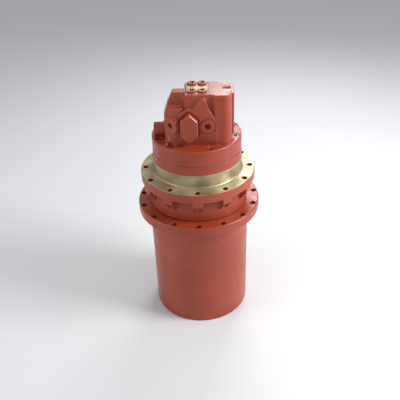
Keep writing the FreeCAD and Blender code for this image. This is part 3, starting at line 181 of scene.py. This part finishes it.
def metal(name, colour, shade, scale, gloss, metallic=1.0, stretch=(1.0, 1.0, 1.0), grain=0.00004):
    """Bare metal: two tones over its marks, with gloss that changes along them."""
    surface, tree, shader, place = new_surface(name)
    marks = speckle(tree, place, scale, 4.0, stretch)
    share = band(tree, marks, 0.34, 0.66, 0.0, 1.0)
    tree.links.new(blend_colours(tree, share, colour, shade), shader.inputs["Base Color"])
    tree.links.new(band(tree, marks, 0.3, 0.7, *gloss), shader.inputs["Roughness"])
    shader.inputs["Metallic"].default_value = metallic
    raise_grain(tree, shader, marks, grain, 0.3)
    return surface


black_steel = metal("black oxide", oxide_black, oxide_worn, scale=420.0, gloss=(0.38, 0.55), metallic=0.6)
wear(["end_cover_screws", "end_cover_plugs", "carrier_screws"], black_steel)
rubber = metal("nitrile rubber", rubber_black, rubber_grey, scale=600.0, gloss=(0.6, 0.8), metallic=0.0)
wear(["end_cover_oring", "hub_seal_toric", "spindle_seal_toric", "shaft_seal"], rubber)

# ---------------------------------------------------------------- gears and shafts
# Case-hardened steel, hobbed and ground, with marks that run along the teeth. The carriers, the
# swash plate and the brake piston are cast iron.
ground_grey = (0.40, 0.40, 0.41)
ground_dark = (0.27, 0.27, 0.28)
carrier_grey = (0.17, 0.17, 0.175)
carrier_dark = (0.10, 0.10, 0.102)
along_teeth = (1.0, 1.0, 0.12)

ground_steel = metal("ground gear steel", ground_grey, ground_dark, scale=180.0, gloss=(0.22, 0.42),
                     stretch=along_teeth)
wear(["ring_gear", "sun_shaft", "first_planet_1", "first_planet_2", "first_planet_3", "second_sun",
      "second_planet_1", "second_planet_2", "second_planet_3", "second_planet_4", "motor_shaft",
      "bearing_spacer", "bearing_nut", "cylinder_block", "retainer_plate", "separator_plates"], ground_steel)
carrier_iron = metal("cast carrier iron", carrier_grey, carrier_dark, scale=240.0, gloss=(0.4, 0.6),
                     metallic=0.8, grain=0.00015)
wear(["first_carrier", "carrier_plate", "swash_plate", "brake_piston"], carrier_iron)

# ---------------------------------------------------------------- bearings, pins and face seals
# Through-hardened steel, polished, also for the pistons, the spools and the springs. The halves of
# the face seal are lapped white iron; washers, slippers, valve plate and friction discs are bronze.
bearing_bright = (0.60, 0.60, 0.61)
bearing_dull = (0.46, 0.46, 0.47)
seal_bright = (0.31, 0.31, 0.32)
seal_dull = (0.24, 0.24, 0.25)
bronze_bright = (0.50, 0.30, 0.12)
bronze_dull = (0.36, 0.21, 0.085)

polished_steel = metal("polished bearing steel", bearing_bright, bearing_dull, scale=300.0,
                       gloss=(0.12, 0.26))
wear(["bearing_outer_rings", "bearing_inner_rings", "bearing_rollers", "first_planet_pins",
      "first_planet_needles", "second_planet_pins", "second_planet_needles", "shaft_needle_bearings",
      "pistons", "brake_disc_spring", "counterbalance_spool", "spool_spring", "speed_spool",
      "speed_spring"], polished_steel)
seal_iron = metal("lapped seal iron", seal_bright, seal_dull, scale=500.0, gloss=(0.16, 0.3))
wear(["hub_seal_ring", "spindle_seal_ring"], seal_iron)
bronze = metal("bearing bronze", bronze_bright, bronze_dull, scale=220.0, gloss=(0.26, 0.42))
wear(["planet_washers", "slippers", "valve_plate", "friction_discs"], bronze)

# ---------------------------------------------------------------- spindle
# Ductile iron. The face and the pilot that bolt to the track frame are masked from the primer and
# left bare under an olive rust-proofing film; the journals inside the hub are ground.
bare_from = 0.3775               # lowest level of the bare face
bare_to = 0.4082                 # upper end of the bare pilot
journal_to = 0.3021              # upper end of the ground journals
film_light = (0.43, 0.375, 0.235)
film_dark = (0.27, 0.205, 0.115)


def step_above(tree, value, level):
    """1 where the value is above the level, else 0."""
    node = tree.nodes.new("ShaderNodeMath")
    node.operation = "GREATER_THAN"
    tree.links.new(value, node.inputs[0])
    node.inputs[1].default_value = level
    return node.outputs[0]


def combine(tree, operation, first, second):
    """One Math node on two outputs."""
    node = tree.nodes.new("ShaderNodeMath")
    node.operation = operation
    tree.links.new(first, node.inputs[0])
    tree.links.new(second, node.inputs[1])
    return node.outputs[0]


def flip(tree, value):
    """1 minus a value."""
    return band(tree, value, 0.0, 1.0, 1.0, 0.0)


def spindle_finish():
    """Primer, bare olive iron and ground journals, told apart by height."""
    surface, tree, shader, place = new_surface("spindle finish")
    parts = tree.nodes.new("ShaderNodeSeparateXYZ")
    tree.links.new(place, parts.inputs["Vector"])
    height = parts.outputs["Z"]
    bare = combine(tree, "MULTIPLY", step_above(tree, height, bare_from),
                   flip(tree, step_above(tree, height, bare_to)))
    ground = flip(tree, step_above(tree, height, journal_to))
    grains = speckle(tree, place, grain_scale, 2.0)
    paint = blend_colours(tree, worn_patches(tree, place), primer_red, primer_worn)
    stain = band(tree, speckle(tree, place, 26.0, 5.0), 0.36, 0.62, 0.0, 1.0)
    film = blend_colours(tree, stain, film_light, film_dark)
    colour = blend_colours(tree, bare, paint, film)
    colour = blend_colours(tree, ground, colour, ground_grey)
    tree.links.new(colour, shader.inputs["Base Color"])
    metallic = combine(tree, "MAXIMUM", band(tree, bare, 0.0, 1.0, 0.0, 0.55), ground)
    tree.links.new(metallic, shader.inputs["Metallic"])
    gloss = band(tree, speckle(tree, place, 60.0, 4.0), 0.35, 0.65, 0.30, 0.46)
    tree.links.new(gloss, shader.inputs["Roughness"])
    raise_grain(tree, shader, grains, 0.0002, 0.25)
    return surface


soften("spindle", spindle_finish(), 0.0007)

# ---------------------------------------------------------------- motor cover with its valve body
# One iron casting with a sand-cast skin under the primer; its screws sit in counterbores and were
# sprayed with it. The small control cover on top is bare under the same olive film as the spindle.
casting_red = (0.265, 0.035, 0.012)
casting_worn = (0.320, 0.050, 0.019)
sand_grain = 0.0005              # height of the sand-cast skin, metres
fastener_red = (0.25, 0.033, 0.0115)
fastener_worn = (0.30, 0.046, 0.018)
fastener_grain = 0.0001
fastener_corners = {             # how far each one's corners are broken, metres
    "motor_cover_screws": 0.0004,
    "control_cover_screws": 0.0006,
    "spool_cap": 0.0010,
    "speed_plug": 0.0006,
    "relief_valve": 0.0006,
    "drain_connector": 0.0008,
}

casting_primer = primer("casting primer", casting_red, casting_worn, sand_grain, gloss=(0.30, 0.46))
soften("motor_cover", casting_primer, 0.0012)
fastener_primer = primer("fastener primer", fastener_red, fastener_worn, fastener_grain, gloss=(0.26, 0.40))
wear(["spool_rear_cap"], fastener_primer)
for fastener, round_off in fastener_corners.items():
    soften(fastener, fastener_primer, round_off)
bare_cover = metal("bare control cover", film_light, film_dark, scale=90.0, gloss=(0.34, 0.5), metallic=0.45)
wear(["control_cover"], bare_cover)

# ---------------------------------------------------------------- studio
# Pale seamless floor, a soft key lamp on the right, a weaker one on the left, one behind, and the
# camera.
floor_grey = (0.60, 0.605, 0.62)
floor_reach = 6.0                # from the middle to each side, metres
sky_white = (0.97, 0.98, 1.0)
lamp_target = Vector((0.0, 0.0, 0.3))
lamps = (                        # name, place in metres, width in metres, watts
    ("key lamp", (1.4, -0.35, 1.2), 0.7, 36.0),
    ("fill lamp", (-1.5, -0.6, 0.9), 0.8, 9.0),
    ("back lamp", (0.35, 1.3, 1.35), 0.7, 14.0),
)

floor_mesh = bpy.data.meshes.new("floor")
sheet = bmesh.new()
bmesh.ops.create_grid(sheet, x_segments=1, y_segments=1, size=floor_reach)
sheet.to_mesh(floor_mesh)
sheet.free()
floor = bpy.data.objects.new("floor", floor_mesh)
bpy.context.scene.collection.objects.link(floor)
pale, _, shader, _ = new_surface("pale floor")
shader.inputs["Base Color"].default_value = (*floor_grey, 1.0)
shader.inputs["Roughness"].default_value = 0.8
floor_mesh.materials.append(pale)

world = bpy.data.worlds.new("studio")
bpy.context.scene.world = world
world.use_nodes = True
sky = world.node_tree.nodes["Background"]
sky.inputs["Color"].default_value = (*sky_white, 1.0)
sky.inputs["Strength"].default_value = 0.56
for name, spot, size, power in lamps:
    lamp = bpy.data.objects.new(name, bpy.data.lights.new(name, "AREA"))
    bpy.context.scene.collection.objects.link(lamp)
    lamp.data.size = size
    lamp.data.energy = power
    aim = (lamp_target - Vector(spot)).to_track_quat("-Z", "Y").to_matrix().to_4x4()
    lamp.matrix_world = Matrix.Translation(spot) @ aim

eye = Vector((0.02401, -1.09708, 0.99819))
pitch, yaw, roll = math.radians(33.073), math.radians(-1.114), math.radians(-1.92)
forward = Vector((math.sin(yaw) * math.cos(pitch), math.cos(yaw) * math.cos(pitch), -math.sin(pitch)))
right = Vector((math.cos(yaw), -math.sin(yaw), 0.0))
up = right.cross(forward)
camera_right = right * math.cos(roll) + up * math.sin(roll)
camera_up = up * math.cos(roll) - right * math.sin(roll)
camera = bpy.data.objects.new("camera", bpy.data.cameras.new("camera"))
bpy.context.scene.collection.objects.link(camera)
camera.data.sensor_width = 36.0
camera.data.lens = 49.5
camera.data.clip_start = 0.01
axes = Matrix((camera_right, camera_up, -forward)).transposed()
camera.matrix_world = Matrix.Translation(eye) @ axes.to_4x4()
bpy.context.scene.camera = camera
bpy.context.scene.view_settings.view_transform = "Standard"
